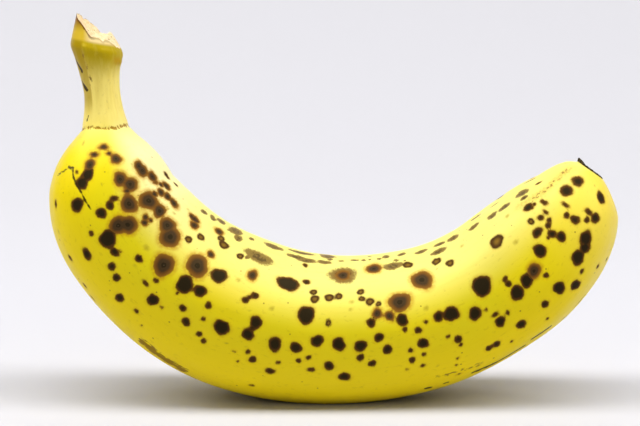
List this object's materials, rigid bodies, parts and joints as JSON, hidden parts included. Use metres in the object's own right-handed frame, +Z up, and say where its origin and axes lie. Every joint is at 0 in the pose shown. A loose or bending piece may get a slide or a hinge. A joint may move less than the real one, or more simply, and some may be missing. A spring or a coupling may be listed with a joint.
{
  "type": "banana",
  "caption": "Ripe curved banana with a snapped stem and a dry blossom scar, resting on the outside of its curve.",
  "frame": {"origin": "on the surface the fruit rests on, under the middle of its bounding box", "axes": "+X from the stem end towards the blossom end, +Y across the fruit away from its shown side, +Z up"},
  "size_m": [0.142, 0.0386, 0.0966],
  "materials": {
    "peel": null
  },
  "bodies": {
    "root": {"banana": "peel"}
  },
  "joints": []
}
